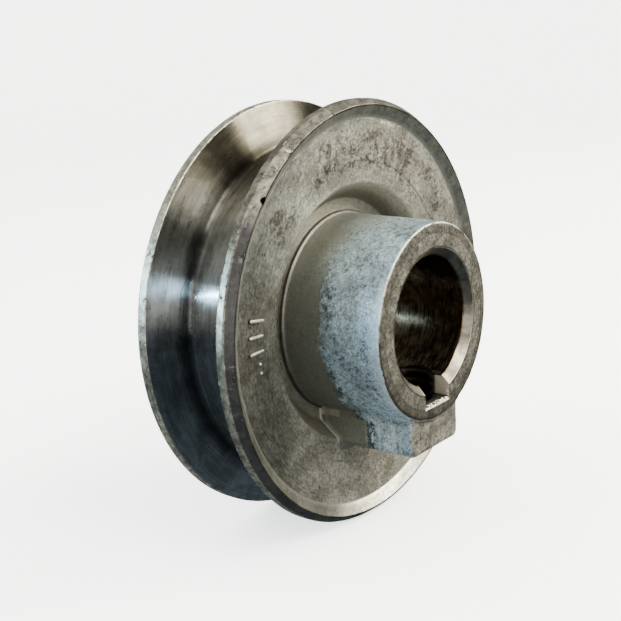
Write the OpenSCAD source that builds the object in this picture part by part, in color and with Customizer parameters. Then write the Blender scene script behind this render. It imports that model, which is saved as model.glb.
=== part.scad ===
// Die-cast V-belt pulley with a hub on one side, and the socket set screw that locks it to a shaft.
// The bore lies along Y with the hub towards -Y. The set-screw boss and the keyway face -Z.
// The origin is on the bore's axis, in the middle plane of the belt groove.

/* [Rim and belt groove] */
// Outside diameter of both flanges
rim_d = 63.5; // [60:0.5:70]
// Width of the rim over both flanges
rim_w = 17; // [16:0.25:20]
// Width of the belt groove at the outside diameter
groove_top_w = 13.1; // [12:0.1:13.5]
// Radial depth of the belt groove
groove_depth = 6.75; // [5:0.25:8]
// Included angle of the belt groove's two walls, in degrees
groove_angle = 34; // [30:1:38]
// Width of the flat land on top of the rear flange
rear_land_w = 1.5; // [1:0.1:2]
// Radial height of the taper on the front flange's outer edge
front_taper_h = 0.9; // [0.5:0.1:1.2]
// Width of the taper on the front flange's outer edge
front_taper_w = 1.25; // [0.5:0.05:1.4]

/* [Web] */
// Radial width of the bevel inside each rim edge
bevel_w = 1.85; // [1:0.05:2.5]
// Depth of the bevel inside each rim edge
bevel_depth = 1.2; // [0.6:0.1:1.6]
// Depth of each web face below its rim edge, at the edge of the recess round the hub
face_depth = 2.5; // [1.8:0.1:3]
// Radius of the recess round the hub, at the web face
recess_r = 19.45; // [18.5:0.05:20.5]
// Depth of the recess floor below the rim edge
recess_depth = 5.8; // [4:0.1:6.2]
// How far the recess wall leans in from face to floor
recess_lean = 2.4; // [1:0.1:3]

/* [Hub] */
// Radius of the hub where it leaves the recess floor
hub_root_r = 14.9; // [14.7:0.05:15.5]
// Radius of the hub at its free end
hub_end_r = 14.4; // [14:0.05:14.6]
// How far the hub stands out of the rim's front edge
hub_reach = 10.95; // [8:0.05:14]
// Size of the broken edge round the hub's free end
hub_edge = 0.4; // [0.2:0.1:0.8]

/* [Bore and keyway] */
// Bore diameter, a running fit on a 3/4 inch shaft
bore_d = 19.05; // [15:0.05:20]
// Size of the 45 degree chamfer at the bore's hub end
front_chamfer = 1.2; // [0.5:0.1:1.6]
// Size of the 45 degree chamfer at the bore's rear end
rear_chamfer = 0.8; // [0.4:0.1:1.4]
// Width of the keyway
key_w = 6.35; // [4.7:0.05:6.4]
// Depth of the keyway at its side walls
key_side_depth = 3.175; // [2:0.025:3.3]

/* [Set-screw boss] */
// Width of the boss across its two side faces
boss_w = 12.7; // [12:0.1:14]
// Distance from the bore's axis to the boss's flat
boss_h = 19.2; // [18.6:0.1:19.4]
// How far the boss stops short of the hub's end face
boss_setback = 0.5; // [0.3:0.1:1.5]
// Radius of the boss's two lower edges
boss_corner_r = 1.2; // [0.5:0.1:2]

/* [Set screw] */
// Outside diameter of the set screw's thread
screw_d = 7.84; // [7.8:0.01:7.88]
// Radial clearance between the thread's outside and the tapped hole
screw_clearance = 0.05; // [0.02:0.01:0.08]
// Length of the set screw from socket end to cup point
screw_len = 6.35; // [5:0.05:8]
// Distance from the hub's end face to the set screw's axis
screw_from_end = 5.6; // [5.5:0.1:8]
// How far the set screw's point sits below the keyway floor
point_below_key = 0.15; // [0.05:0.05:0.5]
// Size of the chamfer round the socket end
screw_end_chamfer = 0.7; // [0.4:0.1:1]
// Size of the cone round the cup point
screw_point_chamfer = 1.3; // [1:0.1:1.6]
// Width across the flats of the hexagon socket
socket_af = 3.97; // [3:0.01:4]
// Depth of the hexagon socket
socket_depth = 3.2; // [2.5:0.1:3.4]
// Radius of the hollow in the cup point
cup_r = 1.9; // [1.5:0.1:2.2]
// Depth of the hollow in the cup point
cup_depth = 1; // [0.6:0.1:1.2]

/* [Hidden] */
ROUND = 96;
// Overshoot that keeps a cut's end clear of the face it passes through
PAST = 1;
rim_r = rim_d / 2;
bore_r = bore_d / 2;
// Axial stations, counted along the bore from the groove's middle towards the hub's end
groove_half = groove_top_w / 2;
rim_rear = -groove_half - rear_land_w;
rim_front = rim_rear + rim_w;
hub_end = rim_front + hub_reach;
front_face = rim_front - face_depth;
front_floor = rim_front - recess_depth;
rear_face = rim_rear + face_depth;
rear_floor = rim_rear + recess_depth;
boss_end = hub_end - boss_setback;
boss_len = boss_end - front_floor;
screw_station = hub_end - screw_from_end;
// Radii
groove_bottom_r = rim_r - groove_depth;
groove_bottom_half = groove_half - groove_depth * tan(groove_angle / 2);
front_edge_r = rim_r - front_taper_h;
bevel_foot_r = front_edge_r - bevel_w;
floor_r = recess_r - recess_lean;
key_floor = sqrt(pow(bore_r, 2) - pow(key_w / 2, 2)) + key_side_depth;
screw_r = screw_d / 2;
// Height of the set screw's point, and of its socket end
point_z = -key_floor - point_below_key;
socket_z = point_z - screw_len;

// Turns a shape drawn round local Z so that local +Z runs along the bore to the hub's end.
module along_bore() {
    rotate([90, 0, 0]) children();
}

// Half section of the casting without its boss, as radius and station along the bore.
module casting_section() {
    polygon([
        [bore_r, rim_rear + rear_chamfer],
        [bore_r + rear_chamfer, rim_rear],
        [hub_end_r, rim_rear],
        [hub_root_r, rear_floor],
        [floor_r, rear_floor],
        [recess_r, rear_face],
        [bevel_foot_r, rim_rear + bevel_depth],
        [front_edge_r, rim_rear],
        [rim_r, rim_rear],
        [rim_r, -groove_half],
        [groove_bottom_r, -groove_bottom_half],
        [groove_bottom_r, groove_bottom_half],
        [rim_r, groove_half],
        [rim_r, rim_front - front_taper_w],
        [front_edge_r, rim_front],
        [bevel_foot_r, rim_front - bevel_depth],
        [recess_r, front_face],
        [floor_r, front_floor],
        [hub_root_r, front_floor],
        [hub_end_r, hub_end - hub_edge],
        [hub_end_r - hub_edge, hub_end],
        [bore_r + front_chamfer, hub_end],
        [bore_r, hub_end - front_chamfer]
    ]);
}

// Boss outline seen along the bore: two upright sides and rounded lower corners.
module boss_outline() {
    corner_x = boss_w / 2 - boss_corner_r;
    corner_z = -boss_h + boss_corner_r;
    translate([-boss_w / 2, corner_z]) square([boss_w, -corner_z]);
    translate([-corner_x, -boss_h]) square([2 * corner_x, boss_h]);
    for (side = [-1, 1])
        translate([side * corner_x, corner_z]) circle(r = boss_corner_r, $fn = ROUND);
}

// The boss as a block, hollowed where the bore passes so that it only adds metal below the hub.
module boss() {
    difference() {
        along_bore() translate([0, 0, front_floor]) linear_extrude(boss_len) boss_outline();
        along_bore() cylinder(r = bore_r + front_chamfer, h = hub_end + PAST, $fn = ROUND);
    }
}

module keyway() {
    translate([-key_w / 2, -hub_end - PAST, -key_floor])
        cube([key_w, hub_end - rim_rear + 2 * PAST, key_floor]);
}

module screw_hole() {
    translate([0, -screw_station, -boss_h - PAST])
        cylinder(r = screw_r + screw_clearance, h = boss_h + PAST, $fn = ROUND);
}

// Rim, web, hub and boss are one casting, bored, slotted and tapped.
module pulley_casting() {
    color([0.6, 0.59, 0.55]) difference() {
        union() {
            along_bore() rotate_extrude($fn = ROUND) casting_section();
            boss();
        }
        keyway();
        screw_hole();
    }
}

// Screw blank with its chamfered socket end down and its cup point up.
module screw_blank() {
    shank = screw_len - screw_end_chamfer - screw_point_chamfer;
    cylinder(r1 = screw_r - screw_end_chamfer, r2 = screw_r, h = screw_end_chamfer, $fn = ROUND);
    translate([0, 0, screw_end_chamfer]) cylinder(r = screw_r, h = shank, $fn = ROUND);
    translate([0, 0, screw_end_chamfer + shank])
        cylinder(r1 = screw_r, r2 = screw_r - screw_point_chamfer, h = screw_point_chamfer, $fn = ROUND);
}

// The set screw: hexagon socket at the boss's flat, cup point at the keyway.
module set_screw() {
    color([0.17, 0.17, 0.18]) translate([0, -screw_station, socket_z]) difference() {
        screw_blank();
        translate([0, 0, -PAST])
            cylinder(r = socket_af / 2 / cos(30), h = socket_depth + PAST, $fn = 6);
        translate([0, 0, screw_len - cup_depth]) cylinder(r1 = 0, r2 = cup_r, h = cup_depth, $fn = ROUND);
    }
}

pulley_casting();
set_screw();
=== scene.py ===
"""Looks of the die-cast V-belt pulley and its set screw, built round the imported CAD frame."""
import math

import bpy
import numpy as np
from mathutils import Matrix, Vector, noise


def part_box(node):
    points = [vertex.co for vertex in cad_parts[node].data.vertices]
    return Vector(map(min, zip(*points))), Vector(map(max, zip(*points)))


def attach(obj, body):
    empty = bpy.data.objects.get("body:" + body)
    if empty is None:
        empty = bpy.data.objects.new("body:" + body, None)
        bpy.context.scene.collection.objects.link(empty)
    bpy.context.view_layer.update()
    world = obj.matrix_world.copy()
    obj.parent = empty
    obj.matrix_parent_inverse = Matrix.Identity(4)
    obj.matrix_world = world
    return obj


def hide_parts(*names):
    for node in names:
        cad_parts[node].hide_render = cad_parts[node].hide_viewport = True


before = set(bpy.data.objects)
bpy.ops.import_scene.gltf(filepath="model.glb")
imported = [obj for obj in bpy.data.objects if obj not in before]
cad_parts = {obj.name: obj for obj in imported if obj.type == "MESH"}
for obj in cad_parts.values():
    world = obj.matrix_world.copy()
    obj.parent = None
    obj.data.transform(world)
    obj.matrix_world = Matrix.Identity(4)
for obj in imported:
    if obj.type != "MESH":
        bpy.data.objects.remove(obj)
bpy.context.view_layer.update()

MM = 0.001
CASTING, SCREW = "pulley_casting", "set_screw"

# ---------------- sizes, in millimetres
# A point of the casting is given by its radius, its angle and its station: the distance along the
# bore from the groove's middle plane towards the hub's end. Angle 0 points down, at the boss.
low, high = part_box(CASTING)
RIM_R = high.z / MM
HUB_END = -low.y / MM
REAR = -high.y / MM
RIM_WIDTH = 17.0
RIM_FRONT = REAR + RIM_WIDTH
BORE_R, FRONT_CHAMFER, REAR_CHAMFER = 9.525, 1.2, 0.8
HUB_END_R, HUB_ROOT_R, HUB_EDGE = 14.4, 14.9, 0.4
RING_R = 12.9  # step on the hub's end face
EDGE_R, BEVEL_FOOT_R, RECESS_R, FLOOR_R = 30.85, 29.0, 19.45, 17.05
BEVEL_DEPTH, FACE_DEPTH, RECESS_DEPTH = 1.2, 2.5, 5.8  # all behind the rim's front
FACE, FLOOR = RIM_FRONT - FACE_DEPTH, RIM_FRONT - RECESS_DEPTH
FACE_SLOPE = (FACE_DEPTH - BEVEL_DEPTH) / (BEVEL_FOOT_R - RECESS_R)
TAPER = 1.25  # length of the taper at the rim's front
GROOVE_HALF, GROOVE_BOTTOM_R, GROOVE_BOTTOM_HALF, GROOVE_SLOPE = 6.55, 25.0, 4.486, 0.306
KEY_HALF, KEY_FLOOR, KEY_BREAK = 3.175, 12.155, 0.38
BOSS_HALF, BOSS_H, BOSS_END, BOSS_CORNER_R = 6.35, 19.2, HUB_END - 0.5, 1.2
LIP_R, LIP = 15.15, 0.55  # low collar round the hub's root
RING_MARK_R, RING_MARK_STEP = 22.7, 0.05  # faint ring on the web's face
REAR_FACE_R = KEY_FLOOR + 1.4  # outer edge of the rear face's rows round bore and keyway
NICK_DEGREES = -130.4  # the one large knock, on the front edge

screw_low, screw_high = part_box(SCREW)
SCREW_STATION = -(screw_low.y + screw_high.y) / 2 / MM
SCREW_R = (screw_high.x - screw_low.x) / 2 / MM
SCREW_LEN = (screw_high.z - screw_low.z) / MM
SCREW_BASE = screw_low.z / MM
THREAD_PITCH = 1.411
HOLE_R = SCREW_R + 0.05
HOLE_TOP = -7.0  # inside the bore


# ---------------- mesh helpers
def add_object(name, data):
    obj = bpy.data.objects.new(name, data)
    bpy.context.scene.collection.objects.link(obj)
    return obj


def make_object(name, verts, faces):
    """A mesh object from vertices in millimetres."""
    mesh = bpy.data.meshes.new(name)
    mesh.from_pydata((np.asarray(verts) * MM).tolist(), [], [list(f) for f in faces])
    mesh.validate()
    mesh.update()
    return add_object(name, mesh)


def read_vectors(items, name):
    """One vector of each vertex or face of a mesh, as the rows of an array."""
    values = np.empty(len(items) * 3)
    items.foreach_get(name, values)
    return values.reshape(-1, 3)


def grid_faces(rows, columns, loop_rows=False):
    """Quads between rows of a grid whose columns close on themselves."""
    faces = []
    for i in range(rows if loop_rows else rows - 1):
        a, b = i * columns, (i + 1) % rows * columns
        for j in range(columns):
            k = (j + 1) % columns
            faces.append((a + j, b + j, b + k, a + k))
    return faces


def tube_faces(rows, columns):
    """Faces of a closed tube: its side and a cap at each end."""
    last = (rows - 1) * columns
    caps = [tuple(range(columns)), tuple(reversed(range(last, last + columns)))]
    return grid_faces(rows, columns) + caps


def rounded_path(corners, step):
    """Points along a path of (radius, station, rounding) corners, with arcs at its inner corners.

    The points on a straight stretch are about a step apart, with one close to each of its ends.
    """
    segments, support = 4, 0.07
    points = [np.array(c[:2], float) for c in corners]
    stretches, start = [], points[0]
    arcs = []
    for i in range(1, len(points) - 1):
        p, rounding = points[i], corners[i][2]
        a, b = points[i - 1] - p, points[i + 1] - p
        la, lb = np.linalg.norm(a), np.linalg.norm(b)
        a, b = a / la, b / lb
        half = math.acos(np.clip(a @ b, -1, 1)) / 2
        reach = min(rounding / math.tan(half), 0.45 * la, 0.45 * lb)
        rounding = reach * math.tan(half)
        centre = p + (a + b) / np.linalg.norm(a + b) * rounding / math.sin(half)
        first, last = p + a * reach - centre, p + b * reach - centre
        sweep = math.pi - 2 * half
        arc = []
        for k in range(segments + 1):
            f = k / segments
            arc.append(centre + (first * math.sin((1 - f) * sweep) + last * math.sin(f * sweep))
                       / math.sin(sweep))
        stretches.append((start, arc[0]))
        arcs.append(arc)
        start = arc[-1]
    stretches.append((start, points[-1]))
    out = []
    for i, (a, b) in enumerate(stretches):
        length = np.linalg.norm(b - a)
        inner = []
        if length > 3 * support:
            count = max(int(round((length - 2 * support) / step)), 1)
            inner = list(np.linspace(support, length - support, count + 1) / length)
        out += [a + (b - a) * f for f in ([0] if i == 0 else []) + inner]
        out += arcs[i] if i < len(arcs) else [b]
    return np.array(out)


# ---------------- the casting's outlines
def smooth_min(a, b, k):
    """The lesser of two distances, blended over a width k where they are nearly the same."""
    h = np.maximum(k - np.abs(a - b), 0) / k
    return np.minimum(a, b) - h * h * k / 4


def boss_distance(x, z):
    """Signed distance to the boss's outline, seen along the bore."""
    qx = np.abs(x) - (BOSS_HALF - BOSS_CORNER_R)
    qz = np.abs(z + BOSS_H / 2) - (BOSS_H / 2 - BOSS_CORNER_R)
    outside = np.hypot(np.maximum(qx, 0), np.maximum(qz, 0))
    return outside + np.minimum(np.maximum(qx, qz), 0) - BOSS_CORNER_R


def hub_radius(station):
    """Radius of the hub's tapered side."""
    f = (station - FLOOR) / (HUB_END - FLOOR)
    return HUB_ROOT_R + (HUB_END_R - HUB_ROOT_R) * f


def side_radius(angle, hub_r):
    """Radius of the outline of hub and boss together, in each direction."""
    inside_hub, beyond_boss, halvings = HUB_END_R - 1.0, 22.0, 30
    near, far = np.full_like(angle, inside_hub), np.full_like(angle, beyond_boss)
    for _ in range(halvings):
        r = (near + far) / 2
        x, z = r * np.sin(angle), -r * np.cos(angle)
        d = smooth_min(r - hub_r, boss_distance(x, z), 1.5)
        near, far = np.where(d < 0, r, near), np.where(d < 0, far, r)
    return (near + far) / 2


def bore_radius(angle):
    """Radius of the bore's wall, which steps out into the keyway at the bottom."""
    a = np.minimum(np.abs(angle), math.pi / 2)
    side = KEY_HALF / np.maximum(np.sin(a), 1e-6)
    floor = KEY_FLOOR / np.maximum(np.cos(a), 1e-6)
    return np.maximum(BORE_R, np.where(a < math.pi / 2, np.minimum(side, floor), 0))


def column_angles():
    """Angles of the casting's columns: 1.3 degrees apart, and closer where keyway and boss turn."""
    fine_start, fine_end = 13.4, 29.0
    key_corner = math.degrees(math.atan(KEY_HALF / KEY_FLOOR))
    key_edge = math.degrees(math.asin(KEY_HALF / BORE_R))
    fine = np.r_[np.linspace(fine_start, key_corner, 5)[:-1],
                 np.linspace(key_corner, key_edge, 13)[:-1], np.linspace(key_edge, fine_end, 24)]
    half = np.r_[np.linspace(0, fine_start, 14)[:-1], fine, np.linspace(fine_end, 180, 119)[1:-1]]
    return np.radians(np.r_[-half[:0:-1], half, 180.0])


# ---------------- the casting's rows
def web_path():
    """Front face from the hub's root out to the bevel: lip, recess floor, recess wall, web face."""
    return rounded_path([
        (HUB_ROOT_R, FLOOR + LIP + 0.25, 0), (LIP_R, FLOOR + LIP, 0.1), (LIP_R + 0.1, FLOOR, 0.25),
        (FLOOR_R, FLOOR, 0.7), (RECESS_R, FACE, 0.7),
        (RING_MARK_R - 0.15, face_station(RING_MARK_R) - RING_MARK_STEP, 0.1),
        (RING_MARK_R + 0.15, face_station(RING_MARK_R) + RING_MARK_STEP, 0.1),
        (BEVEL_FOOT_R - 0.35, face_station(BEVEL_FOOT_R - 0.35), 0)], step=1.0)


def rim_path():
    """Outside of the rim, from the front bevel's foot over the groove to the rear bevel's foot."""
    return rounded_path([
        (BEVEL_FOOT_R - 0.3, RIM_FRONT - BEVEL_DEPTH - 0.04, 0),
        (BEVEL_FOOT_R, RIM_FRONT - BEVEL_DEPTH, 0.8), (EDGE_R - 0.25, RIM_FRONT, 0.15),
        (EDGE_R, RIM_FRONT, 0.12), (RIM_R, RIM_FRONT - TAPER, 0.25), (RIM_R, GROOVE_HALF, 0.22),
        (GROOVE_BOTTOM_R, GROOVE_BOTTOM_HALF, 0.9), (GROOVE_BOTTOM_R, -GROOVE_BOTTOM_HALF, 0.9),
        (RIM_R, -GROOVE_HALF, 0.2), (RIM_R, REAR, 0.2), (EDGE_R, REAR, 0.15),
        (BEVEL_FOOT_R, REAR + BEVEL_DEPTH, 0.25),
        (BEVEL_FOOT_R - 0.3, REAR + BEVEL_DEPTH + 0.04, 0)], step=3.0)


def rear_path():
    """Rear face from the bevel's foot in to the rear chamfer's edge."""
    return rounded_path([
        (BEVEL_FOOT_R - 0.3, REAR + BEVEL_DEPTH + 0.04, 0), (RECESS_R, REAR + FACE_DEPTH, 0.7),
        (FLOOR_R, REAR + RECESS_DEPTH, 0.7), (HUB_ROOT_R, REAR + RECESS_DEPTH, 0.5),
        (HUB_END_R, REAR, 0.35), (REAR_FACE_R, REAR, 0)], step=1.6)


def chamfer_width(wall, chamfer):
    """Width of the chamfer round the bore, and of the small break along the keyway."""
    return np.maximum(BORE_R + chamfer - wall, KEY_BREAK)


def hub_end_rows(wall):
    """Front chamfer, flat ring of the end face, its outer ring a little lower, the round edge."""
    chamfer = chamfer_width(wall, FRONT_CHAMFER)
    for f in np.r_[0, 0.06, np.linspace(0.2, 0.8, 4), 0.94, 1]:
        yield wall + chamfer * f, HUB_END - chamfer * (1 - f)
    face_start = wall + chamfer
    ring = np.maximum(RING_R, face_start + 0.12)
    for f in np.r_[0.04, np.linspace(0.15, 0.85, 5), 0.97]:
        yield face_start + (ring - face_start) * f, HUB_END
    ring_drop, hub_top = 0.07, hub_radius(HUB_END)
    for f in (0.04, 0.3, 0.7, 1):
        yield ring + (hub_top - HUB_EDGE - ring) * f, HUB_END - ring_drop * f
    for turn in np.radians([18, 36, 54, 72, 90]):
        yield (hub_top - HUB_EDGE * (1 - math.sin(turn)),
               HUB_END - ring_drop - (HUB_EDGE - ring_drop) * (1 - math.cos(turn)))


def side_and_web_rows(angle):
    """Boss end face, the side of hub and boss down to the web, and the web's front."""
    hub_top = hub_radius(HUB_END)
    side = side_radius(angle, hub_radius(BOSS_END))
    root = side_radius(angle, hub_radius(FLOOR + 1))
    boss = np.clip((side - hub_top) / 0.6, 0, 1)
    end_rows, side_rows = 13, 26
    for k in range(1, end_rows + 1):
        last = (HUB_END - HUB_EDGE - 0.05 * k) * (1 - boss) + BOSS_END * boss
        yield hub_top + (side - hub_top) * k / end_rows, last
    web = web_path()
    hub_foot = web[0, 1]
    foot = np.interp(root, web[:, 0], web[:, 1])
    foot = np.where(boss > 0, np.maximum(foot, hub_foot), hub_foot)
    for k in range(1, side_rows):
        f = k / side_rows
        f = 0.45 * f + 0.55 * (0.5 - 0.5 * math.cos(math.pi * f))
        yield side + (root - side) * f, last + (foot - last) * f

    # The web's rows are pushed outwards, where the boss covers them, to start at the boss's foot
    squeeze = 0.04
    for k, (r, s) in enumerate(web):
        radius = np.maximum(r, root + squeeze * (k + 1) * boss)
        yield radius, np.where(radius > r, np.interp(radius, web[:, 0], web[:, 1]), s)


def rear_and_bore_rows(wall):
    """Rear face round the bore, rear chamfer, and the bore."""
    chamfer = chamfer_width(wall, REAR_CHAMFER)
    face_start = wall + chamfer
    for f in (0.25, 0.5, 0.75, 0.96):
        yield REAR_FACE_R + (face_start - REAR_FACE_R) * f, REAR
    for f in np.r_[0, 0.06, np.linspace(0.25, 0.75, 3), 0.94, 1]:
        yield face_start - chamfer * f, REAR + chamfer * f
    front_end, rear_end = HUB_END - chamfer_width(wall, FRONT_CHAMFER), REAR + chamfer
    for f in np.r_[0.004, np.linspace(0.05, 0.95, 11), 0.996]:
        yield wall, rear_end + (front_end - rear_end) * f


def casting_rows(angle):
    """Radius and station of every vertex, as rows round the section by columns round the axis."""
    wall, one = bore_radius(angle), np.ones_like(angle)
    rows = [*hub_end_rows(wall), *side_and_web_rows(angle), *rim_path()[1:], *rear_path()[1:],
            *rear_and_bore_rows(wall)]
    return np.array([r * one for r, _ in rows]), np.array([s * one for _, s in rows])


def section_distance(r, s, section):
    """Signed distance of points to a closed section outline in radius and station."""
    shape = r.shape
    p = np.c_[r.ravel(), s.ravel()]
    a, b = section, np.roll(section, -1, axis=0)
    best, inside = np.full(len(p), 1e9), np.zeros(len(p), bool)
    for (ar, as_), (br, bs) in zip(a, b):
        dr, ds = br - ar, bs - as_
        length = dr * dr + ds * ds
        if length < 1e-12:
            continue
        f = np.clip(((p[:, 0] - ar) * dr + (p[:, 1] - as_) * ds) / length, 0, 1)
        best = np.minimum(best, (p[:, 0] - ar - f * dr) ** 2 + (p[:, 1] - as_ - f * ds) ** 2)
        cross = ((as_ > p[:, 1]) != (bs > p[:, 1]))
        at = ar + (p[:, 1] - as_) * dr / (ds if abs(ds) > 1e-12 else 1e-12)
        inside ^= cross & (p[:, 0] < at)
    return (np.sqrt(best) * np.where(inside, -1, 1)).reshape(shape)


def blend_boss(r, s, angle):
    """Moves the vertices near the boss onto one rounded surface of hub, web and boss."""
    far = int(np.argmax(np.abs(angle - math.pi / 2) < 0.01))
    section = np.c_[r[:, far], s[:, far]]
    widest, beyond = math.radians(34), 23.5
    picked = np.broadcast_to(np.abs(angle) < widest, r.shape)
    picked = picked & (s > FLOOR - 0.2) & (r > HUB_END_R - 0.25) & (r < beyond)
    picked &= ~((r < HUB_END_R) & (s > HUB_END - 0.3))
    rr, ss = r[picked], s[picked]
    tt = np.broadcast_to(angle, r.shape)[picked]
    x, z, y = rr * np.sin(tt), -rr * np.cos(tt), ss.copy()

    def distance(x, z, y):
        body = section_distance(np.hypot(x, z), y, section)
        outline = boss_distance(x, z)
        end = y - BOSS_END
        block = -smooth_min(-outline, -end, 0.7)
        block = np.maximum(block, FLOOR - 3 - y)
        return smooth_min(body, block, 0.9)

    # Newton steps along the distance's slope
    step = 1e-3
    for _ in range(3):
        d = distance(x, z, y)
        gx = (distance(x + step, z, y) - d) / step
        gz = (distance(x, z + step, y) - d) / step
        gy = (distance(x, z, y + step) - d) / step
        g2 = np.maximum(gx * gx + gz * gz + gy * gy, 0.3)
        x, z, y = x - d * gx / g2, z - d * gz / g2, y - d * gy / g2
    out_x, out_z, out_s = r * np.sin(angle), -r * np.cos(angle), s.copy()
    out_x[picked], out_z[picked], out_s[picked] = x, z, y
    return out_x, out_z, out_s


def build_casting_blank():
    """The casting before its hole is tapped and its knocks, burrs and marks are made."""
    angle = column_angles()
    r, s = casting_rows(angle)
    x, z, s = blend_boss(r, s, angle)
    verts = np.stack([x, -s, z], axis=-1).reshape(-1, 3)
    return make_object("casting_body", verts, grid_faces(r.shape[0], r.shape[1], loop_rows=True))


def cut(obj, tool, operation="DIFFERENCE"):
    """Booleans tool into obj and removes the tool."""
    modifier = obj.modifiers.new("cut", "BOOLEAN")
    modifier.operation, modifier.solver, modifier.object = operation, "MANIFOLD", tool
    bpy.context.view_layer.update()
    graph = bpy.context.evaluated_depsgraph_get()
    mesh = bpy.data.meshes.new_from_object(obj.evaluated_get(graph), depsgraph=graph)
    obj.modifiers.clear()
    old = obj.data
    obj.data = mesh
    bpy.data.meshes.remove(old)
    bpy.data.objects.remove(tool)


def thread_wave(turns):
    """Thread height from 0 at the root to 1 at the crest, for a count of turns."""
    f = turns - np.floor(turns)
    return np.clip(1.5 - np.abs(2 * f - 1) * 2.4, 0, 1)


def make_tube(name, rows, turn):
    """A closed object of rows of (radius, height) round the set screw's axis."""
    verts = [np.c_[r * np.sin(turn), r * np.cos(turn) - SCREW_STATION, np.full(len(turn), z)]
             for r, z in rows]
    return make_object(name, np.vstack(verts), tube_faces(len(rows), len(turn)))


def build_hole_tool():
    """The tapped hole: a cylinder with a helical groove and a countersunk mouth."""
    columns, mouth, row_height = 72, -BOSS_H, 0.11
    thread_depth, sink_width, sink_slope = 0.32, 0.45, 0.8
    turn = np.linspace(0, 2 * math.pi, columns, endpoint=False)
    heights = np.r_[mouth - 1.0, np.arange(mouth - 0.02, HOLE_TOP, row_height), HOLE_TOP]
    rows = []
    for h in heights:
        groove = thread_depth * thread_wave(h / THREAD_PITCH - turn / (2 * math.pi))
        sink = max(0.0, sink_width - sink_slope * max(h - mouth, 0))
        rows.append((HOLE_R + np.maximum(groove, sink), h))
    return make_tube("hole_tool", rows, turn)


# ---------------- relief: grain, nicks, burrs, marks
def polar(radius, degrees, station):
    """A point in millimetres from its radius, its angle in degrees and its station."""
    t = math.radians(degrees)
    return Vector((radius * math.sin(t), -station, -radius * math.cos(t)))


def round_axis(degrees):
    """The direction round the bore's axis at an angle."""
    t = math.radians(degrees)
    return Vector((math.cos(t), 0, math.sin(t)))


def roughen_cast_skin(obj):
    """Gives the as-cast surfaces the slight unevenness that metal cast in a die has."""
    mesh = obj.data
    co, normal = read_vectors(mesh.vertices, "co") / MM, read_vectors(mesh.vertices, "normal")
    radius, station = np.hypot(co[:, 0], co[:, 2]), -co[:, 1]
    web = (radius < BEVEL_FOOT_R - 0.4) & (radius > HUB_END_R - 1)
    web &= (station < RIM_FRONT) | (radius > HUB_END_R - 0.3)
    end = (station > BOSS_END - 0.2) & (radius > BORE_R + FRONT_CHAMFER)
    waves = ((0.16, 0.05), (0.45, 0.03), (1.3, 0.018))
    for i in np.nonzero(web | end)[0]:
        p = Vector(co[i])
        wave = sum(noise.noise(p * scale) * height for scale, height in waves)
        co[i] += normal[i] * (wave if web[i] else min(wave * 0.5, 0))
    co[:, 1] = np.clip(co[:, 1], -HUB_END, -REAR)
    mesh.vertices.foreach_set("co", (co * MM).ravel())
    mesh.update()


def blob(centre, along, size, seed):
    """A small lumpy ball, longer along one direction. Returns its vertices and triangles."""
    t = (1 + math.sqrt(5)) / 2
    icosahedron = ((-1, t, 0), (1, t, 0), (-1, -t, 0), (1, -t, 0), (0, -1, t), (0, 1, t),
                   (0, -1, -t), (0, 1, -t), (t, 0, -1), (t, 0, 1), (-t, 0, -1), (-t, 0, 1))
    verts = [Vector(corner) for corner in icosahedron]
    faces = [(0, 11, 5), (0, 5, 1), (0, 1, 7), (0, 7, 10), (0, 10, 11), (1, 5, 9), (5, 11, 4),
             (11, 10, 2), (10, 7, 6), (7, 1, 8), (3, 9, 4), (3, 4, 2), (3, 2, 6), (3, 6, 8), (3, 8, 9),
             (4, 9, 5), (2, 4, 11), (6, 2, 10), (8, 6, 7), (9, 8, 1)]
    middle, fine = {}, []
    for a, b, c in faces:
        ring = []
        for p, q in ((a, b), (b, c), (c, a)):
            key = (min(p, q), max(p, q))
            if key not in middle:
                middle[key] = len(verts)
                verts.append((verts[p] + verts[q]) / 2)
            ring.append(middle[key])
        ab, bc, ca = ring
        fine += [(a, ab, ca), (b, bc, ab), (c, ca, bc), (ab, bc, ca)]
    turn = along.to_track_quat("X", "Z")
    out = []
    for v in verts:
        v = v.normalized()
        v = v * (1 + 0.35 * noise.noise(v * 1.7 + Vector((seed * 3.1, 0, 0))))
        out.append(centre + turn @ Vector((v.x * size[0], v.y * size[1], v.z * size[2])))
    return out, fine


def join_meshes(name, meshes):
    """One object from a list of (vertices, faces)."""
    verts, faces = [], []
    for mesh_verts, mesh_faces in meshes:
        faces += [tuple(i + len(verts) for i in face) for face in mesh_faces]
        verts += [tuple(p) for p in mesh_verts]
    return make_object(name, verts, faces)


def build_rim_chips():
    """Cutters for the knocks on the rim's edges: one large, the rest small and scattered."""
    rng = np.random.default_rng(7)
    chips = []
    edges = ((RIM_R, RIM_FRONT - 1.2, 0), (RIM_R, GROOVE_HALF, 0), (RIM_R, -GROOVE_HALF, 0),
             (EDGE_R, RIM_FRONT, 0.05), (RIM_R, REAR, 0))
    per_edge = 19
    for e, (radius, station, outwards) in enumerate(edges):
        for k in range(per_edge):
            degrees = (k + rng.uniform(0.1, 0.9)) * 360 / per_edge
            across = rng.uniform(0.08, 0.28)
            along = across * rng.uniform(1.0, 3.5)
            depth = across * rng.uniform(0.35, 0.8)
            middle = radius + across - depth + outwards
            centre = polar(middle, degrees, station + rng.uniform(-0.1, 0.1))
            chips.append(blob(centre, round_axis(degrees), (along, across, across), k + 40 * e))
    nick = polar(EDGE_R - 0.05, NICK_DEGREES, RIM_FRONT + 0.05)
    chips.append(blob(nick, round_axis(NICK_DEGREES), (0.62, 0.34, 0.45), 3.3))
    return join_meshes("rim_chips", chips)


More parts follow.
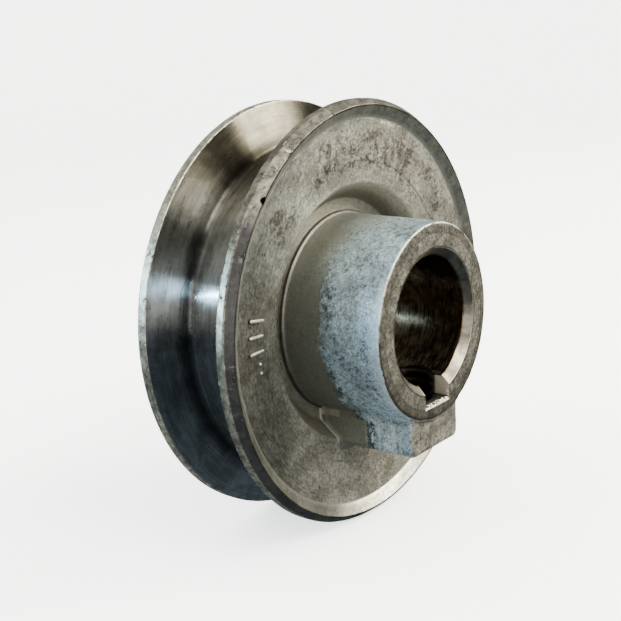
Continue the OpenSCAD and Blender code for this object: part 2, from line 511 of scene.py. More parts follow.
def build_key_burrs():
    """Torn metal left by the broach at the keyway's mouth."""
    burrs = []
    places = ((-2.9, 0.30), (-2.2, 0.22), (-1.5, 0.34), (-0.7, 0.24), (0.1, 0.38), (0.9, 0.26),
              (1.7, 0.36), (2.6, 0.28))
    for k, (x, size) in enumerate(places):
        centre = Vector((x, -HUB_END + 0.28 + 0.3 * size, -KEY_FLOOR - 0.1))
        along = Vector((1, 0.4 * (-1) ** k, 0))
        burrs.append(blob(centre, along, (size * 1.35, size * 0.7, size * 0.8), k + 0.5))
    tool = join_meshes("key_burrs", burrs)
    for v in tool.data.vertices:
        v.co.y = max(v.co.y, (-HUB_END + 0.03) * MM)
    return tool


def bar(a, b, width, height):
    """A raised cast bar with round ends between two points on the web, as vertices and faces."""
    lift = 0.02
    columns, rings = 20, 5
    out = Vector((0, -1, 0))
    along = (b - a).normalized()
    across = out.cross(along).normalized()
    verts = []
    for i in range(rings + 1):
        f = math.radians(90 * i / rings)
        reach = width * max(math.cos(f) ** 0.8, 0.12)
        rise = math.sin(f) if i else -0.8
        for j in range(columns):
            u = -2 * math.pi * j / columns
            end = b if math.cos(u) >= 0 else a
            p = end + (along * math.cos(u) + across * math.sin(u)) * reach
            verts.append(p + out * (height * rise + lift))
    return verts, tube_faces(rings + 1, columns)


def face_station(radius):
    """Station of the front web's face at a radius."""
    return FACE + (radius - RECESS_R) * FACE_SLOPE


def build_web_marks():
    """Generic raised foundry marks on the web: three bars and two dots."""
    half_width, height = 0.27, 0.40
    bars = [(degrees, 23.4, 26.2) for degrees in (-99.5, -94.5, -89.5)]
    dots = [(degrees, 24.2, 24.35) for degrees in (-85.5, -82.5)]
    marks = []
    for degrees, *ends in bars + dots:
        a, b = [polar(radius, degrees, face_station(radius)) for radius in ends]
        marks.append(bar(a, b, half_width, height))
    return join_meshes("web_marks", marks)


# ---------------- the two pieces
REGIONS = ("web", "rim", "groove", "hub", "end", "bore")


def paint_regions(obj, materials):
    """Gives each face the material of the region that it lies in."""
    mesh = obj.data
    mesh.materials.clear()
    for name in REGIONS:
        mesh.materials.append(materials[name])
    centre = read_vectors(mesh.polygons, "center") / MM
    x, z, station = centre[:, 0], centre[:, 2], -centre[:, 1]
    radius = np.hypot(x, z)
    facing = -read_vectors(mesh.polygons, "normal")[:, 1]
    away = np.abs(station)
    region = np.zeros(len(mesh.polygons), int)

    def claim(name, mask):
        region[mask] = REGIONS.index(name)

    hub_side = (radius > HUB_END_R - 1.2) & (radius < 21) & (station > FLOOR + LIP - 0.1)
    claim("hub", hub_side & ((station > FACE + 0.3) | (radius < LIP_R) | (z < -HUB_ROOT_R) & (
        np.abs(x) < BOSS_HALF + 0.25)))
    claim("end", (station > BOSS_END - 0.45) & (radius > BORE_R + 0.3) & (facing > 0.75))
    claim("end", (station < REAR + 0.3) & (radius < HUB_END_R))
    claim("rim", radius > BEVEL_FOOT_R - 0.05)
    wall_r = GROOVE_BOTTOM_R + (away - GROOVE_BOTTOM_HALF) / GROOVE_SLOPE
    claim("groove", (radius > GROOVE_BOTTOM_R - 0.3) & (away < GROOVE_HALF - 0.05) & (
        (away < GROOVE_BOTTOM_HALF) | (radius > wall_r - 0.5)))
    in_bore = (radius < BORE_R + 0.25) | (np.abs(x) < KEY_HALF + 0.1) & (z < 0) & (z > -KEY_FLOOR - 0.15)
    claim("bore", in_bore & (station < HUB_END - 0.15))
    claim("bore", (radius < BORE_R + 1.1) & (np.abs(facing) < 0.9))
    in_hole = np.hypot(x, station - SCREW_STATION) < HOLE_R + 0.6
    claim("bore", in_hole & (z < HOLE_TOP + 1) & (z > -BOSS_H + 0.02))
    mesh.polygons.foreach_set("material_index", region)


def build_casting(materials):
    """The casting: blank, tapped hole, knocks, burrs and marks, in that order."""
    body = build_casting_blank()
    roughen_cast_skin(body)
    cut(body, build_hole_tool())
    cut(body, build_rim_chips())
    cut(body, build_key_burrs(), "UNION")
    cut(body, build_web_marks(), "UNION")
    body.data.shade_smooth()
    body.data.set_sharp_from_angle(angle=math.radians(40))
    paint_regions(body, materials)
    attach(body, "casting")
    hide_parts(CASTING)


def build_set_screw(material):
    """Headless screw: hex socket below, threaded side, cup point above."""
    columns, row_height, thread_depth = 96, 0.075, 0.5
    socket_half, socket_depth, socket_point, face_r = 3.97 / 2, 3.2, 0.9, 3.1
    cup_r, cup_depth, cup_edge = 1.9, 1.0, 0.05
    turn = np.linspace(0, 2 * math.pi, columns, endpoint=False)
    from_flat = (turn + math.pi / 6) % (math.pi / 3) - math.pi / 6
    hexagon = socket_half / np.cos(from_flat)
    one = np.ones(columns)
    base, top = SCREW_BASE, SCREW_BASE + SCREW_LEN

    # Socket, from its drilled point out to the flat face
    socket_floor = base + socket_depth
    rows = [(0.02 * one, socket_floor + socket_point), (hexagon * 0.9, socket_floor + 0.03),
            (hexagon, socket_floor), (hexagon, socket_floor - 0.08)]
    rows += [(hexagon, base + h) for h in np.linspace(2.4, 0.4, 5)]
    mouth = hexagon * 1.12
    rows += [(hexagon, base + 0.25), (hexagon * 1.02, base + 0.1), (hexagon * 1.08, base),
             (mouth, base), ((mouth + face_r) / 2, base), (face_r * one, base),
             ((face_r + 0.08) * one, base + 0.02)]

    # Threaded side, whose crests run out into the chamfers at both ends
    for h in np.arange(0.08, SCREW_LEN - 0.05, row_height):
        z = base + h
        crest = min(SCREW_R, 3.2 + h * 1.05, 2.62 + (SCREW_LEN - h) * 1.0)
        wave = thread_wave(z / THREAD_PITCH - turn / (2 * math.pi))
        depth = thread_depth * min(1.0, max(0.0, (crest - 2.9) / 0.9))
        rows.append((crest - depth * (1 - wave), z))
    rows += [(2.6 * one, top - 0.02), (2.5 * one, top), (cup_r * 1.06 * one, top),
             (cup_r * 0.97 * one, top - cup_edge), (cup_r * 0.5 * one, top - cup_depth * 0.55),
             (0.02 * one, top - cup_depth)]
    screw = make_tube("set_screw_body", rows, turn)
    screw.data.shade_smooth()
    screw.data.set_sharp_from_angle(angle=math.radians(35))
    screw.data.materials.append(material)
    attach(screw, "screw")
    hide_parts(SCREW)


# ---------------- materials
class Graph:
    """Adds shader nodes to a new material. Lengths inside it are in millimetres."""

    def __init__(self, name):
        self.material = bpy.data.materials.new(name)
        self.material.use_nodes = True
        self.tree = self.material.node_tree
        self.shader = self.tree.nodes["Principled BSDF"]
        self.place = self.scaled(self.add("TexCoord").outputs["Object"], 1 / MM)
        split = self.add("SeparateXYZ")
        self.link(self.place, split.inputs[0])
        self.x, y, self.z = split.outputs
        self.station = self.times(y, -1)
        self.radius = self.length(self.x, self.z)

    def add(self, kind, **settings):
        node = self.tree.nodes.new("ShaderNode" + kind)
        for key, value in settings.items():
            setattr(node, key, value)
        return node

    def link(self, source, target):
        self.tree.links.new(source, target)

    def put(self, value, target):
        """Links a socket, or sets a plain value."""
        if isinstance(value, bpy.types.NodeSocket):
            self.link(value, target)
        else:
            target.default_value = value

    def fill(self, node, values):
        """Gives sockets or plain values to a node's inputs by name."""
        for name, value in values.items():
            self.put(value, node.inputs[name])

    def math(self, operation, a, b=0.0):
        node = self.add("Math", operation=operation)
        self.put(a, node.inputs[0])
        self.put(b, node.inputs[1])
        return node.outputs[0]

    def times(self, *values):
        """The product of two or more values."""
        total = values[0]
        for value in values[1:]:
            total = self.math("MULTIPLY", total, value)
        return total

    def plus(self, a, b):
        return self.math("ADD", a, b)

    def minus(self, a, b):
        return self.math("SUBTRACT", a, b)

    def length(self, a, b):
        return self.math("SQRT", self.plus(self.times(a, a), self.times(b, b)))

    def span(self, value, low_end, high_end, low_out=0.0, high_out=1.0, smooth=True):
        """Maps a stretch of values to another, easing in and out, and holds its ends beyond."""
        node = self.add("MapRange", interpolation_type="SMOOTHSTEP" if smooth else "LINEAR")
        self.fill(node, {"Value": value, "From Min": low_end, "From Max": high_end,
                         "To Min": low_out, "To Max": high_out})
        return node.outputs[0]

    def near(self, value, centre, width):
        """1 at a value and 0 beyond a width from it."""
        away = self.math("ABSOLUTE", self.minus(value, centre))
        return self.span(away, 0, width, 1, 0)

    def noise(self, scale, detail, rough, distortion=0.0, place=None, seed=0.0):
        """Noise whose features are about 1/scale mm across. Each seed gives another pattern."""
        node = self.add("TexNoise", noise_dimensions="3D")
        shifted = self.add("VectorMath", operation="ADD")
        self.link(place or self.place, shifted.inputs[0])
        shifted.inputs[1].default_value = (seed * 13.7, seed * 7.9, seed * 5.3)
        self.fill(node, {"Vector": shifted.outputs[0], "Scale": scale, "Detail": detail,
                         "Roughness": rough, "Distortion": distortion})
        return node.outputs["Fac"]

    def stretched(self, around, across):
        """Coordinates that change slowly round the axis and quickly across it."""
        node = self.add("CombineXYZ")
        self.put(self.times(self.math("DIVIDE", self.x, self.radius), around), node.inputs[0])
        self.put(self.times(self.math("DIVIDE", self.z, self.radius), around), node.inputs[1])
        profile = self.plus(self.radius, self.times(self.station, 0.7))
        self.put(self.times(profile, across), node.inputs[2])
        return node.outputs[0]

    def mix(self, factor, a, b):
        node = self.add("Mix", data_type="RGBA")
        self.put(factor, node.inputs["Factor"])
        for value, target in ((a, node.inputs[6]), (b, node.inputs[7])):
            self.put(value if isinstance(value, bpy.types.NodeSocket) else (*value, 1), target)
        return node.outputs[2]

    def scaled(self, vector, factor):
        """A colour or a place times a number."""
        node = self.add("VectorMath", operation="SCALE")
        self.link(vector, node.inputs[0])
        self.put(factor, node.inputs["Scale"])
        return node.outputs[0]

    def vary(self, colour, value, *stretch):
        """Shades a colour by a span of a value."""
        return self.scaled(colour, self.span(value, *stretch))

    def tint(self, colour, mask, strength, other):
        """Mixes another colour into a colour, at most by strength."""
        return self.mix(self.times(mask, strength), colour, other)

    def bump(self, height, depth):
        """Raises the surface by a depth in millimetres where height is 1."""
        node, normal = self.add("Bump"), self.shader.inputs["Normal"]
        self.fill(node, {"Height": height, "Distance": depth * MM})
        if normal.is_linked:
            self.link(normal.links[0].from_socket, node.inputs["Normal"])
        self.link(node.outputs[0], normal)

    def finish(self, colour, metallic, roughness, brushed=0.0):
        """Fills the shader. A brushed one reflects as if fine marks ran round the bore's axis."""
        self.fill(self.shader, {"Base Color": colour, "Metallic": metallic, "Roughness": roughness})
        if brushed:
            tangent = self.add("Tangent", direction_type="RADIAL", axis="Y").outputs[0]
            self.fill(self.shader, {"Anisotropic": brushed, "Anisotropic Rotation": 0.25,
                                    "Tangent": tangent})
        return self.material


def web_material():
    """As-cast zinc: sandy grain, dark pits and brown stains over its upper half."""
    g = Graph("cast_web")
    patches = g.noise(0.22, 6, 0.6, 0.4)
    grain = g.noise(2.1, 5, 0.78, 0.2)
    sweep = g.noise(1.0, 5, 0.65, 0.3, g.stretched(18, 3.0), 4)
    calm = g.span(g.radius, 18.8, 20.6)
    colour = g.mix(g.span(patches, 0.36, 0.64), (0.34, 0.33, 0.272), (0.52, 0.507, 0.428))
    colour = g.mix(calm, (0.43, 0.418, 0.35), colour)
    # Painted shade: the web darker towards the left
    colour = g.vary(colour, g.x, -24, -9, 0.42, 1.0)
    # Painted light: the web lighter towards the top
    colour = g.vary(colour, g.z, 8, 20, 1.0, 1.14)
    grit = g.times(g.span(grain, 0.36, 0.64, -0.34, 0.32), g.span(calm, 0, 1, 0.5, 1))
    colour = g.scaled(colour, g.plus(1.0, grit))
    at_left = g.span(g.x, -8, -18, 0.35, 1.0)
    streak = g.times(g.span(sweep, 0.36, 0.64, -0.24, 0.2), at_left)
    colour = g.scaled(colour, g.plus(1.0, streak))

    # Stains, pits, the faint ring and a few scratches
    high_up = g.span(g.z, -4, 11)
    blotch = g.span(g.noise(0.13, 4, 0.6, 0.6, seed=2.3), 0.41, 0.51)
    broken = g.span(g.noise(0.55, 9, 0.82, 0.3, seed=5), 0.43, 0.55)
    off_edges = g.times(g.span(g.radius, 20, 22.5), g.span(g.radius, 28.6, 26.5))
    stain = g.times(blotch, broken, high_up, off_edges)
    smear = g.times(stain, g.span(grain, 0.62, 0.38, 0.68, 0.95))
    colour = g.mix(smear, colour, (0.046, 0.04, 0.032))
    pits = g.span(g.noise(1.5, 5, 0.68, seed=9), 0.585, 0.66)
    spread = g.span(g.noise(0.3, 4, 0.6, seed=12), 0.42, 0.6, 0.05, 1.0)
    pits = g.times(pits, spread, g.span(g.radius, 17, 20))
    colour = g.tint(colour, pits, 0.85, (0.05, 0.043, 0.036))
    ring = g.times(g.near(g.radius, RING_MARK_R, 0.25), g.span(patches, 0.45, 0.6))
    colour = g.tint(colour, ring, 0.45, (0.12, 0.09, 0.07))
    scratch = g.near(g.noise(0.13, 1.5, 0.4, seed=21), 0.5, 0.0035)
    scratch = g.times(scratch, g.span(g.noise(0.4, 2, 0.5, seed=22), 0.5, 0.62))
    colour = g.tint(colour, scratch, 0.6, (0.09, 0.08, 0.07))

    # Painted highlight: a bright line along the boss's foot. Painted shade on the recess: its upper
    # wall, and darker the deeper it lies
    # Painted highlight along the boss's foot
    foot = g.near(g.math("ABSOLUTE", g.x), BOSS_HALF + 0.42, 0.22)
    foot = g.times(foot, g.span(g.z, -13, -13.6), g.span(g.z, -18.9, -18.3), g.span(g.station, 0, 0.5))
    colour = g.mix(foot, colour, (0.78, 0.77, 0.7))
    # Painted shade on the recess's upper wall
    wall = g.times(g.span(g.radius, FLOOR_R - 0.2, FLOOR_R + 0.2),
                   g.span(g.radius, RECESS_R + 0.2, FLOOR_R + 0.3), g.span(g.z, 5, 12))
    colour = g.vary(colour, wall, 0, 1, 1, 0.5)
    # Painted shade: darker the deeper in the recess
    colour = g.vary(colour, g.station, FACE - 0.3, FLOOR, 1.0, 0.74)

    # Raised marks, their tops lightened as a painted highlight, and painted shade: a dark line under the
    # collar at the hub's root
    proud = g.minus(g.station, g.times(g.minus(g.radius, RECESS_R), FACE_SLOPE))
    # Painted highlight on the raised marks' tops
    raised = g.span(proud, FACE + 0.18, FACE + 0.3)
    raised = g.times(raised, g.span(g.radius, 22.9, 23.1), g.span(g.radius, 26.8, 26.6))
    colour = g.tint(colour, raised, 0.5, (0.8, 0.785, 0.71))
    # Painted shade under the collar at the hub's root
    below = g.span(g.station, FLOOR + LIP, FLOOR + LIP - 0.15)
    painted_shade_under_lip = g.times(g.span(g.radius, LIP_R + 0.35, LIP_R + 0.15), below)
    colour = g.tint(colour, painted_shade_under_lip, 0.8, (0.045, 0.04, 0.033))

    rough = g.plus(g.span(grain, 0.35, 0.65, 0.42, 0.56), g.times(stain, 0.2))
    g.bump(g.noise(2.6, 6, 0.75), 0.05)
    g.bump(g.times(pits, -1), 0.08)
    g.bump(sweep, 0.04)
    return g.finish(colour, g.span(stain, 0, 1, 0.9, 0.8), rough)


def rim_material():
    """Turned rim, scuffed by handling, with dark knocks, and its smoother cast bevels."""
    g = Graph("scuffed_rim")
    scuff = g.noise(1.4, 6, 0.72, 0.4, seed=16)
    patches = g.noise(0.5, 6, 0.65, 0.5, seed=3)
    fine = g.noise(2.2, 6, 0.75, seed=5)
    bevel = g.span(g.radius, EDGE_R - 0.1, EDGE_R - 0.4)

    # Outside of the rim, with its knocks, then the bevels inside it
    colour = g.mix(g.span(patches, 0.38, 0.62), (0.3, 0.295, 0.255), (0.58, 0.56, 0.465))
    colour = g.vary(colour, scuff, 0.35, 0.65, 0.72, 1.15)
    # Painted light: the rear half of the rim lighter
    colour = g.vary(colour, g.station, -1, 1, 1.2, 1.0)
    # Painted shade: the front half of the rim darker near the top
    painted_shade_front_top = g.times(g.span(g.station, -1, 1), g.span(g.z, 6, 15))
    colour = g.vary(colour, painted_shade_front_top, 0, 1, 1.0, 0.66)
    knocks = g.span(g.noise(1.1, 6, 0.7, 0.4, seed=8), 0.57, 0.66)
    knocks = g.times(knocks, g.span(bevel, 0, 1, 1, 0.15))
    colour = g.tint(colour, knocks, 0.8, (0.07, 0.07, 0.08))
    cast = g.mix(g.span(patches, 0.36, 0.64), (0.33, 0.32, 0.27), (0.47, 0.46, 0.39))
    colour = g.mix(bevel, colour, g.vary(cast, fine, 0.36, 0.64, 0.82, 1.16))

    # Front taper darkened up to the top as painted shade, the seam inside it, the bevel's foot lightened
    # as a painted highlight, the large nick painted black as painted shade
    front = g.span(g.station, 0, 1)
    # Painted shade on the front taper
    painted_shade_taper = g.times(g.span(g.radius, RIM_R - 0.08, RIM_R - 0.2), g.span(g.radius, EDGE_R - 0.1, EDGE_R),
                    front, g.span(g.z, 20, 16))
    colour = g.tint(colour, painted_shade_taper, 0.86, (0.1, 0.098, 0.105))
    seam = g.times(g.near(g.radius, EDGE_R - 0.12, 0.24), front)
    colour = g.tint(colour, seam, 0.8, (0.05, 0.042, 0.035))
    # Painted highlight on the bevel's foot
    edge = g.near(g.radius, BEVEL_FOOT_R + 0.1, 0.5)
    colour = g.tint(colour, edge, 0.6, (0.66, 0.65, 0.58))
    # Painted shade: the large nick painted black
    nick = g.add("VectorMath", operation="DISTANCE")
    g.link(g.place, nick.inputs[0])
    nick.inputs[1].default_value = polar(EDGE_R - 0.2, NICK_DEGREES, RIM_FRONT - 0.15)
    colour = g.mix(g.span(nick.outputs["Value"], 0.62, 0.4), colour, (0.015, 0.013, 0.012))

    rough = g.plus(g.span(scuff, 0.35, 0.65, 0.27, 0.44), g.times(knocks, 0.25))
    rough = g.plus(rough, g.times(bevel, 0.06))
    g.bump(g.noise(2.4, 5, 0.7), 0.03)
    g.bump(knocks, -0.06)
    return g.finish(colour, 0.95, rough)


def groove_material():
    """Turned groove, brushed round the axis, with a little grime."""
    g = Graph("turned_groove")
    fine = g.noise(1.0, 3, 0.6, 0, g.stretched(3, 5))
    broad = g.noise(1.0, 4, 0.6, 0, g.stretched(5, 1.2), 6)
    grime = g.noise(0.3, 7, 0.65, 0.5, seed=7)
    # Painted shade: the groove darker towards the top, lighter lower down
    colour = g.mix(g.span(g.z, 6, 24), (0.5, 0.52, 0.52), (0.15, 0.142, 0.111))
    # Painted shade in the groove's bottom corners, which hides their highlight
    corner = g.near(g.math("ABSOLUTE", g.station), GROOVE_BOTTOM_HALF + 0.1, 0.9)
    colour = g.vary(colour, corner, 0, 1, 1, 0.32)
    colour = g.vary(colour, grime, 0.36, 0.64, 0.82, 1.16)
    colour = g.vary(colour, fine, 0.3, 0.7, 0.88, 1.12)
    colour = g.vary(colour, broad, 0.35, 0.65, 0.86, 1.12)
    dust = g.span(g.noise(1.6, 6, 0.75, 0.3, seed=11), 0.6, 0.7)
    colour = g.tint(colour, dust, 0.2, (0.1, 0.09, 0.07))
    return g.finish(colour, 1.0, g.span(broad, 0.35, 0.65, 0.27, 0.3), 1.0)


def hub_material():
    """Cast skin near the root, and a scuffed, mottled, cooler skin on the outer half; its blue is partly
    a painted reflection of the cool lamp.
    """
    g = Graph("hub_skin")
    on_boss = g.span(g.z, -14.2, -14.9)
    flecks = g.noise(1.25, 8, 0.8, 0.15, seed=4)
    fine = g.noise(3.4, 6, 0.8, seed=6)
    cloudy = g.noise(0.28, 4, 0.6, 0.3, seed=9)

    # Where the scuffed skin starts: a wandering edge, crisp at the sides and faded at the top
    wander = g.span(g.noise(0.15, 3, 0.5, 0.2), 0.35, 0.65, -1.0, 1.0, False)
    wander = g.plus(wander, g.span(flecks, 0.3, 0.7, -0.9, 0.9, False))
    wander = g.times(wander, g.span(on_boss, 0, 1, 1, 0.15))
    edge = g.plus(g.plus(g.station, wander), g.span(on_boss, 0, 1, 0, -1.5))
    crisp, faded = g.span(edge, 9.5, 10.9), g.span(edge, 7.0, 14.5)
    at_top = g.span(g.z, 4, 12)
    scuffed = g.plus(g.times(at_top, g.minus(faded, crisp)), crisp)
    rind = g.times(g.near(edge, 10.8, 1.6), g.span(at_top, 0, 1, 1, 0.2))

    # The smooth skin, and the scuffed one with its dark flecks and its burnished end, lightened further
    # as a painted highlight
    smooth = g.mix(g.span(fine, 0.35, 0.65), (0.2, 0.208, 0.187), (0.29, 0.3, 0.27))
    # Painted light: the smooth skin lighter towards the top
    smooth = g.vary(smooth, at_top, 0, 1, 1, 1.3)
    # Painted light: lighter on the boss's side
    smooth = g.vary(smooth, on_boss, 0, 1, 1, 1.1)
    # Worn zinc, its strong blue and brightness partly a painted reflection of the cool side lamp
    worn = g.mix(g.span(flecks, 0.38, 0.62), (0.32, 0.405, 0.47), (0.64, 0.8, 0.92))
    worn = g.vary(worn, cloudy, 0.36, 0.64, 0.78, 1.1)
    # Painted shade: the scuffed skin darker towards the top
    worn = g.vary(worn, g.z, 6, 13, 1.0, 0.9)
    dark = g.times(g.span(flecks, 0.46, 0.38), g.span(cloudy, 0.58, 0.42, 0.35, 1.0))
    # Burnished front edge, lit up as a painted highlight
    burnish_and_highlight = g.times(g.span(g.station, 17.4, 19.4), g.span(g.z, 12, 5), g.span(g.z, -12, -10))
    worn = g.mix(g.times(dark, g.span(burnish_and_highlight, 0, 1, 0.78, 0.3)), worn, (0.075, 0.092, 0.105))
    worn = g.vary(worn, fine, 0.36, 0.64, 0.68, 1.32)
    worn = g.tint(worn, burnish_and_highlight, 0.5, (0.78, 0.92, 1.0))
    # Painted light: lighter on the boss's side
    worn = g.vary(worn, on_boss, 0, 1, 1, 1.1)
    colour = g.mix(scuffed, smooth, worn)

    # Dark crust where the two meet, the line across the boss, and painted shade at the root
    crust = g.times(rind, g.span(g.noise(0.9, 7, 0.8, 0.3, seed=14), 0.45, 0.53),
                    g.span(g.noise(0.12, 2, 0.5, seed=15), 0.42, 0.55, 0.25, 1.0))
    colour = g.tint(colour, crust, 0.9, (0.035, 0.04, 0.046))
    line = g.times(g.near(g.station, 11.75, 0.22), on_boss)
    colour = g.tint(colour, line, 0.7, (0.05, 0.055, 0.06))
    # Painted shade at the hub's root, next to the collar
    grime = g.span(g.station, FLOOR + 1.1, FLOOR + 0.2)
    colour = g.tint(colour, grime, 0.7, (0.035, 0.033, 0.03))
    rough = g.plus(g.span(scuffed, 0, 1, 0.44, 0.36), g.span(flecks, 0.6, 0.35, 0, 0.2))
    g.bump(g.noise(2.2, 6, 0.72), 0.03)
    g.bump(g.times(flecks, scuffed), 0.1)
    return g.finish(colour, 0.92, rough)


def end_material():
    """Hub and boss end faces: brown-grey grain, with a darker outer ring."""
    g = Graph("hub_end_face")
    grain = g.noise(2.4, 6, 0.82, 0.3)
    patches = g.noise(0.45, 6, 0.65, 0.5, seed=2)
    colour = g.mix(g.span(patches, 0.36, 0.64), (0.15, 0.143, 0.116), (0.275, 0.264, 0.22))
    colour = g.vary(colour, grain, 0.37, 0.63, 0.5, 1.5)
    specks = g.span(g.noise(1.7, 6, 0.72, 0.5, seed=8), 0.575, 0.66)
    colour = g.tint(colour, specks, 0.8, (0.05, 0.045, 0.038))
    outer = g.span(g.radius, RING_R - 0.1, RING_R + 0.3)
    on_hub = g.span(g.station, BOSS_END + 0.1, BOSS_END + 0.2)
    colour = g.vary(colour, g.times(outer, on_hub), 0, 1, 1.12, 0.8)
    colour = g.vary(colour, on_hub, 0, 1, 1.7, 1.0)
    # Painted shade: the end faces darker towards the bottom
    colour = g.vary(colour, g.z, -3, -11, 1.0, 0.8)

    # Dark step and chamfer's edge, and the outer edge: rubbed and lightened as a painted highlight
    # above, painted shade below
    line = g.times(g.near(g.radius, RING_R, 0.2), g.span(patches, 0.3, 0.6, 0.3, 1))
    mouth = g.times(g.near(g.radius, BORE_R + FRONT_CHAMFER + 0.1, 0.25), 0.75)
    colour = g.mix(g.math("MAXIMUM", g.times(line, 0.65), mouth), colour, (0.045, 0.04, 0.033))
    # Painted highlight on the rubbed upper edge
    rubbed_and_highlight = g.times(g.near(g.radius, HUB_END_R - 0.08, 0.3), g.span(patches, 0.4, 0.52),
                     g.span(g.z, -1, 3))
    shaded = g.times(g.near(g.radius, HUB_END_R - 0.3, 0.35), g.span(g.z, 2, -1))
    colour = g.tint(colour, shaded, 0.75, (0.05, 0.042, 0.034))
    colour = g.tint(colour, rubbed_and_highlight, 0.85, (0.74, 0.74, 0.68))

    # Two scratches that cross on the boss
    upright = g.times(g.near(g.x, -4.1, 0.13), g.near(g.z, -16.5, 1.5))
    level = g.times(g.near(g.z, -16.7, 0.13), g.near(g.x, -3.9, 1.2))
    scratch = g.span(g.math("MAXIMUM", upright, level), 0.1, 0.4)
    colour = g.tint(colour, scratch, 0.7, (0.05, 0.045, 0.04))
    g.bump(g.noise(2.8, 6, 0.76), 0.05)
    g.bump(specks, -0.08)
    return g.finish(colour, 0.85, g.span(grain, 0.35, 0.65, 0.42, 0.58))


def bore_material():
    """Bored and broached surfaces: bright chamfer, browned bore with turning marks."""
    g = Graph("machined_bore")
    turned = g.noise(1.0, 3, 0.65, 0, g.stretched(3, 4))
    patches = g.noise(0.5, 5, 0.6, 0.6, seed=3)
    chamfer = g.span(g.radius, BORE_R + 0.05, BORE_R + 0.25)
    brown = g.mix(g.span(patches, 0.38, 0.62), (0.12, 0.095, 0.06), (0.28, 0.228, 0.162))
    brown = g.vary(brown, turned, 0.3, 0.7, 0.7, 1.3)
    bright = g.mix(g.span(patches, 0.38, 0.62), (0.3, 0.28, 0.23), (0.48, 0.455, 0.39))
    colour = g.mix(chamfer, brown, bright)

    # Keyway, with its floor darkened as painted shade and its torn front edge, and the tapped hole
    # painted dark as painted shade
    keyway = g.times(g.span(g.z, -7.9, -8.3), g.span(g.math("ABSOLUTE", g.x), 3.5, 3.3), chamfer)
    colour = g.mix(keyway, colour, (0.24, 0.22, 0.18))
    # Painted shade on the keyway's floor
    floor = g.times(keyway, g.span(g.z, -11.85, -12.05))
    colour = g.mix(floor, colour, (0.05, 0.045, 0.04))
    torn = g.times(keyway, g.span(g.station, HUB_END - 0.75, HUB_END - 0.55), g.span(g.z, -11.0, -11.6),
                   g.span(g.noise(1.3, 5, 0.7, 0.4, seed=31), 0.48, 0.53))
    colour = g.mix(torn, colour, (0.86, 0.84, 0.78))
    from_screw = g.length(g.x, g.minus(g.station, SCREW_STATION))
    # Painted shade: the tapped hole painted nearly black
    hole_with_painted_shade = g.times(g.span(from_screw, HOLE_R + 0.65, HOLE_R + 0.4), g.span(g.z, -7, -7.6))
    colour = g.tint(colour, hole_with_painted_shade, 0.95, (0.02, 0.018, 0.015))

    g.bump(turned, 0.008)
    soft = g.math("MAXIMUM", g.times(keyway, 0.3), g.times(chamfer, 0.14))
    soft = g.math("MAXIMUM", soft, g.times(hole_with_painted_shade, 0.25))
    rough = g.plus(g.span(turned, 0.3, 0.7, 0.24, 0.36), soft)
    return g.finish(colour, g.span(keyway, 0, 1, 1, 0.5), rough, 0.6)


def screw_material():
    """Steel with a dark, cloudy oxide film."""
    g = Graph("set_screw_steel")
    film = g.noise(1.6, 5, 0.65, 0.3)
    colour = g.mix(g.span(film, 0.38, 0.62), (0.1, 0.1, 0.105), (0.24, 0.24, 0.25))
    g.bump(g.noise(6, 4, 0.7), 0.01)
    return g.finish(colour, 1.0, g.span(film, 0.35, 0.65, 0.28, 0.42))


# ---------------- camera, stage and light
CAMERA_PLACE = Vector((-122.96, -96.04, 36.31)) * MM
CAMERA_AIM = Vector((-1.72, 1.74, -0.31)) * MM
CAMERA_ROLL = math.radians(-2.8)
CAMERA_LENS = 59.84


def add_camera():
    """A camera with no shift, turned a little about its line of sight."""
    forward = (CAMERA_AIM - CAMERA_PLACE).normalized()
    level = forward.cross(Vector((0, 0, 1))).normalized()
    upright = level.cross(forward)
    right = level * math.cos(CAMERA_ROLL) + upright * math.sin(CAMERA_ROLL)
    up = right.cross(forward)
    data = bpy.data.cameras.new("camera")
    data.lens, data.sensor_width, data.clip_start = CAMERA_LENS, 36, 0.01
    camera = add_object("camera", data)
    turn = Matrix((right, up, -forward)).transposed().to_4x4()
    camera.matrix_world = Matrix.Translation(CAMERA_PLACE) @ turn
    bpy.context.scene.camera = camera


def add_floor():
    """A pale round floor whose edge sweeps up, so that no horizon shows."""
    flat, sweep, wall, columns, sweep_rows = 0.9, 0.6, 2.5, 96, 12
    profile = [(0.001, 0), (0.3, 0), (flat, 0)]
    for k in range(1, sweep_rows + 1):
        a = math.radians(90 * k / sweep_rows)
        profile.append((flat + sweep * math.sin(a), sweep * (1 - math.cos(a))))
    profile.append((flat + sweep, wall))
    turn = np.linspace(0, 2 * math.pi, columns, endpoint=False)
    verts = [(r * math.cos(a), r * math.sin(a), h + low.z) for r, h in profile for a in turn]
    faces = grid_faces(len(profile), columns) + [tuple(range(columns))]
    floor = make_object("floor", np.array(verts) / MM, faces)
    floor.data.shade_smooth()
    pale = Graph("pale_floor")
    pale.fill(pale.shader, {
        "Base Color": (0.86, 0.86, 0.85, 1), "Roughness": 0.9, "Specular IOR Level": 0.1,
        "Emission Color": (1, 1, 1, 1), "Emission Strength": 0.9})
    floor.data.materials.append(pale.material)
    floor.visible_glossy = False  # the metal reflects the studio's dim lower half, not the floor


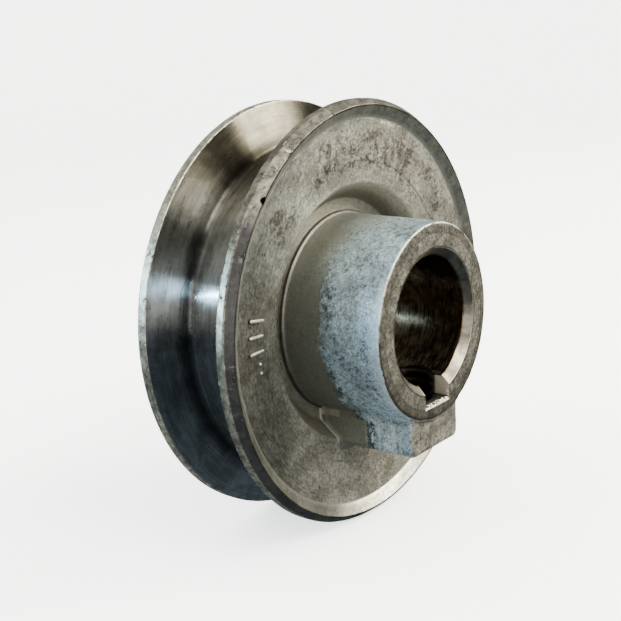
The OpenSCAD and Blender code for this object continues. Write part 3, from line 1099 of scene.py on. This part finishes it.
def add_light(name, place, size, power, colour):
    """A rectangular lamp that faces the origin, and that the camera doesn't see."""
    data = bpy.data.lights.new(name, "AREA")
    data.shape, data.size, data.size_y = "RECTANGLE", size[0], size[1]
    data.energy, data.color = power, colour
    light = add_object(name, data)
    light.location = place
    light.visible_camera = False
    light.rotation_euler = (-Vector(place)).to_track_quat("-Z", "Y").to_euler()


def add_world():
    """Soft studio surround: light above, dim below."""
    world = bpy.data.worlds.new("studio")
    bpy.context.scene.world = world
    world.use_nodes = True
    tree = world.node_tree
    coordinate = tree.nodes.new("ShaderNodeTexCoord")
    split = tree.nodes.new("ShaderNodeSeparateXYZ")
    ramp = tree.nodes.new("ShaderNodeValToRGB")
    shift = tree.nodes.new("ShaderNodeMapRange")
    shift.inputs["From Min"].default_value = -1
    tree.links.new(coordinate.outputs["Generated"], split.inputs[0])
    tree.links.new(split.outputs["Z"], shift.inputs["Value"])
    tree.links.new(shift.outputs[0], ramp.inputs[0])
    stops = ((0.0, (0.08, 0.098, 0.108)), (0.38, (0.083, 0.095, 0.105)),
             (0.52, (0.175, 0.172, 0.161)), (0.75, (0.35, 0.343, 0.312)),
             (0.88, (0.46, 0.45, 0.405)), (1.0, (0.72, 0.7, 0.62)))
    elements = ramp.color_ramp.elements
    for position, _ in stops[1:-1]:
        elements.new(position)
    for element, (_, colour) in zip(elements, stops):
        element.color = (*colour, 1)
    tree.links.new(ramp.outputs[0], tree.nodes["Background"].inputs["Color"])
    tree.nodes["Background"].inputs["Strength"].default_value = 1.3


def add_lights():
    """Three warm lamps in front, and one long cool strip behind that draws the groove's streak."""
    add_light("key", (-0.08, -0.5, 0.5), (0.3, 0.3), 3.5, (1.0, 0.96, 0.88))
    add_light("right", (0.5, -0.42, 0.42), (0.3, 0.3), 6.0, (1.0, 0.95, 0.85))
    add_light("front", (-0.5, -0.6, 0.06), (0.5, 0.3), 1.2, (1.0, 0.95, 0.88))
    add_light("side", (-0.6, 0.42, 0.16), (0.4, 0.03), 3.2, (0.55, 0.8, 1.0))
    bpy.context.scene.view_settings.look = "AgX - Medium High Contrast"


add_camera()
add_floor()
add_world()
add_lights()
build_casting({"web": web_material(), "rim": rim_material(), "groove": groove_material(),
               "hub": hub_material(), "end": end_material(), "bore": bore_material()})
build_set_screw(screw_material())
